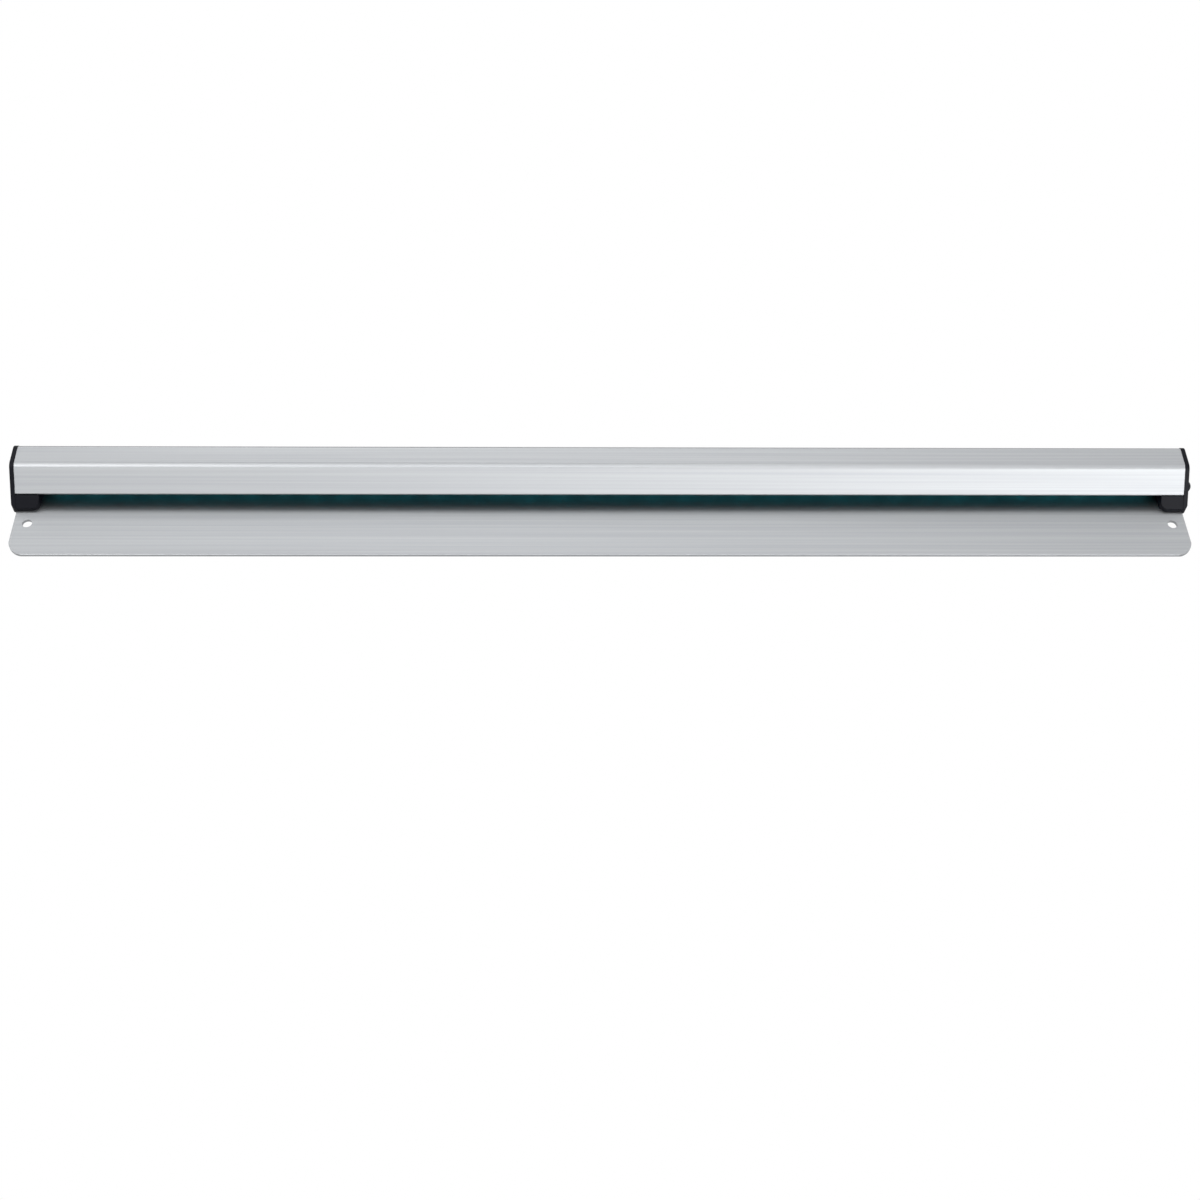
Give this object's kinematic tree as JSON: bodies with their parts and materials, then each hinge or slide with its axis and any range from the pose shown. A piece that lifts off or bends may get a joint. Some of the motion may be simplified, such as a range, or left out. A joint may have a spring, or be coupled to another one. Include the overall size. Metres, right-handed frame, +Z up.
{
  "type": "order ticket rack",
  "caption": "Wall-hung aluminium rail with a creased hood, moulded end caps and loose glass marbles that pinch paper order slips against its back plate.",
  "frame": {"origin": "midway between the two screw holes, on the wall face of the back plate", "axes": "+X along the rail to the viewer's right, +Y into the wall, +Z up"},
  "size_m": [0.612, 0.0202, 0.0636],
  "materials": {
    "anodised_aluminium": "satin, brushed across, with faint lines along the extrusion",
    "black_moulding": "fine moulded texture",
    "marble_glass": "polished, sea green"
  },
  "bodies": {
    "rack": {"rail": "anodised_aluminium", "left_end_cap": "black_moulding", "right_end_cap": "black_moulding"},
    "marble_01": {"marble_01": "marble_glass"},
    "marble_02": {"marble_02": "marble_glass"},
    "marble_03": {"marble_03": "marble_glass"},
    "marble_04": {"marble_04": "marble_glass"},
    "marble_05": {"marble_05": "marble_glass"},
    "marble_06": {"marble_06": "marble_glass"},
    "marble_07": {"marble_07": "marble_glass"},
    "marble_08": {"marble_08": "marble_glass"},
    "marble_09": {"marble_09": "marble_glass"},
    "marble_10": {"marble_10": "marble_glass"},
    "marble_11": {"marble_11": "marble_glass"},
    "marble_12": {"marble_12": "marble_glass"},
    "marble_13": {"marble_13": "marble_glass"},
    "marble_14": {"marble_14": "marble_glass"},
    "marble_15": {"marble_15": "marble_glass"},
    "marble_16": {"marble_16": "marble_glass"},
    "marble_17": {"marble_17": "marble_glass"},
    "marble_18": {"marble_18": "marble_glass"},
    "marble_19": {"marble_19": "marble_glass"},
    "marble_20": {"marble_20": "marble_glass"},
    "marble_21": {"marble_21": "marble_glass"},
    "marble_22": {"marble_22": "marble_glass"},
    "marble_23": {"marble_23": "marble_glass"},
    "marble_24": {"marble_24": "marble_glass"},
    "marble_25": {"marble_25": "marble_glass"},
    "marble_26": {"marble_26": "marble_glass"},
    "marble_27": {"marble_27": "marble_glass"},
    "marble_28": {"marble_28": "marble_glass"},
    "marble_29": {"marble_29": "marble_glass"},
    "marble_30": {"marble_30": "marble_glass"},
    "marble_31": {"marble_31": "marble_glass"},
    "marble_32": {"marble_32": "marble_glass"},
    "marble_33": {"marble_33": "marble_glass"},
    "marble_34": {"marble_34": "marble_glass"},
    "marble_35": {"marble_35": "marble_glass"},
    "marble_36": {"marble_36": "marble_glass"}
  },
  "joints": [
    {"name": "marble_01_lift", "type": "slide", "parent": "rack", "child": "marble_01", "axis": [0, 0, 1], "range_m": [0, 0.0024]},
    {"name": "marble_02_lift", "type": "slide", "parent": "rack", "child": "marble_02", "axis": [0, 0, 1], "range_m": [0, 0.0024]},
    {"name": "marble_03_lift", "type": "slide", "parent": "rack", "child": "marble_03", "axis": [0, 0, 1], "range_m": [0, 0.0024]},
    {"name": "marble_04_lift", "type": "slide", "parent": "rack", "child": "marble_04", "axis": [0, 0, 1], "range_m": [0, 0.0024]},
    {"name": "marble_05_lift", "type": "slide", "parent": "rack", "child": "marble_05", "axis": [0, 0, 1], "range_m": [0, 0.0024]},
    {"name": "marble_06_lift", "type": "slide", "parent": "rack", "child": "marble_06", "axis": [0, 0, 1], "range_m": [0, 0.0024]},
    {"name": "marble_07_lift", "type": "slide", "parent": "rack", "child": "marble_07", "axis": [0, 0, 1], "range_m": [0, 0.0024]},
    {"name": "marble_08_lift", "type": "slide", "parent": "rack", "child": "marble_08", "axis": [0, 0, 1], "range_m": [0, 0.0024]},
    {"name": "marble_09_lift", "type": "slide", "parent": "rack", "child": "marble_09", "axis": [0, 0, 1], "range_m": [0, 0.0024]},
    {"name": "marble_10_lift", "type": "slide", "parent": "rack", "child": "marble_10", "axis": [0, 0, 1], "range_m": [0, 0.0024]},
    {"name": "marble_11_lift", "type": "slide", "parent": "rack", "child": "marble_11", "axis": [0, 0, 1], "range_m": [0, 0.0024]},
    {"name": "marble_12_lift", "type": "slide", "parent": "rack", "child": "marble_12", "axis": [0, 0, 1], "range_m": [0, 0.0024]},
    {"name": "marble_13_lift", "type": "slide", "parent": "rack", "child": "marble_13", "axis": [0, 0, 1], "range_m": [0, 0.0024]},
    {"name": "marble_14_lift", "type": "slide", "parent": "rack", "child": "marble_14", "axis": [0, 0, 1], "range_m": [0, 0.0024]},
    {"name": "marble_15_lift", "type": "slide", "parent": "rack", "child": "marble_15", "axis": [0, 0, 1], "range_m": [0, 0.0024]},
    {"name": "marble_16_lift", "type": "slide", "parent": "rack", "child": "marble_16", "axis": [0, 0, 1], "range_m": [0, 0.0024]},
    {"name": "marble_17_lift", "type": "slide", "parent": "rack", "child": "marble_17", "axis": [0, 0, 1], "range_m": [0, 0.0024]},
    {"name": "marble_18_lift", "type": "slide", "parent": "rack", "child": "marble_18", "axis": [0, 0, 1], "range_m": [0, 0.0024]},
    {"name": "marble_19_lift", "type": "slide", "parent": "rack", "child": "marble_19", "axis": [0, 0, 1], "range_m": [0, 0.0024]},
    {"name": "marble_20_lift", "type": "slide", "parent": "rack", "child": "marble_20", "axis": [0, 0, 1], "range_m": [0, 0.0024]},
    {"name": "marble_21_lift", "type": "slide", "parent": "rack", "child": "marble_21", "axis": [0, 0, 1], "range_m": [0, 0.0024]},
    {"name": "marble_22_lift", "type": "slide", "parent": "rack", "child": "marble_22", "axis": [0, 0, 1], "range_m": [0, 0.0024]},
    {"name": "marble_23_lift", "type": "slide", "parent": "rack", "child": "marble_23", "axis": [0, 0, 1], "range_m": [0, 0.0024]},
    {"name": "marble_24_lift", "type": "slide", "parent": "rack", "child": "marble_24", "axis": [0, 0, 1], "range_m": [0, 0.0024]},
    {"name": "marble_25_lift", "type": "slide", "parent": "rack", "child": "marble_25", "axis": [0, 0, 1], "range_m": [0, 0.0024]},
    {"name": "marble_26_lift", "type": "slide", "parent": "rack", "child": "marble_26", "axis": [0, 0, 1], "range_m": [0, 0.0024]},
    {"name": "marble_27_lift", "type": "slide", "parent": "rack", "child": "marble_27", "axis": [0, 0, 1], "range_m": [0, 0.0024]},
    {"name": "marble_28_lift", "type": "slide", "parent": "rack", "child": "marble_28", "axis": [0, 0, 1], "range_m": [0, 0.0024]},
    {"name": "marble_29_lift", "type": "slide", "parent": "rack", "child": "marble_29", "axis": [0, 0, 1], "range_m": [0, 0.0024]},
    {"name": "marble_30_lift", "type": "slide", "parent": "rack", "child": "marble_30", "axis": [0, 0, 1], "range_m": [0, 0.0024]},
    {"name": "marble_31_lift", "type": "slide", "parent": "rack", "child": "marble_31", "axis": [0, 0, 1], "range_m": [0, 0.0024]},
    {"name": "marble_32_lift", "type": "slide", "parent": "rack", "child": "marble_32", "axis": [0, 0, 1], "range_m": [0, 0.0024]},
    {"name": "marble_33_lift", "type": "slide", "parent": "rack", "child": "marble_33", "axis": [0, 0, 1], "range_m": [0, 0.0024]},
    {"name": "marble_34_lift", "type": "slide", "parent": "rack", "child": "marble_34", "axis": [0, 0, 1], "range_m": [0, 0.0024]},
    {"name": "marble_35_lift", "type": "slide", "parent": "rack", "child": "marble_35", "axis": [0, 0, 1], "range_m": [0, 0.0024]},
    {"name": "marble_36_lift", "type": "slide", "parent": "rack", "child": "marble_36", "axis": [0, 0, 1], "range_m": [0, 0.0024]}
  ]
}
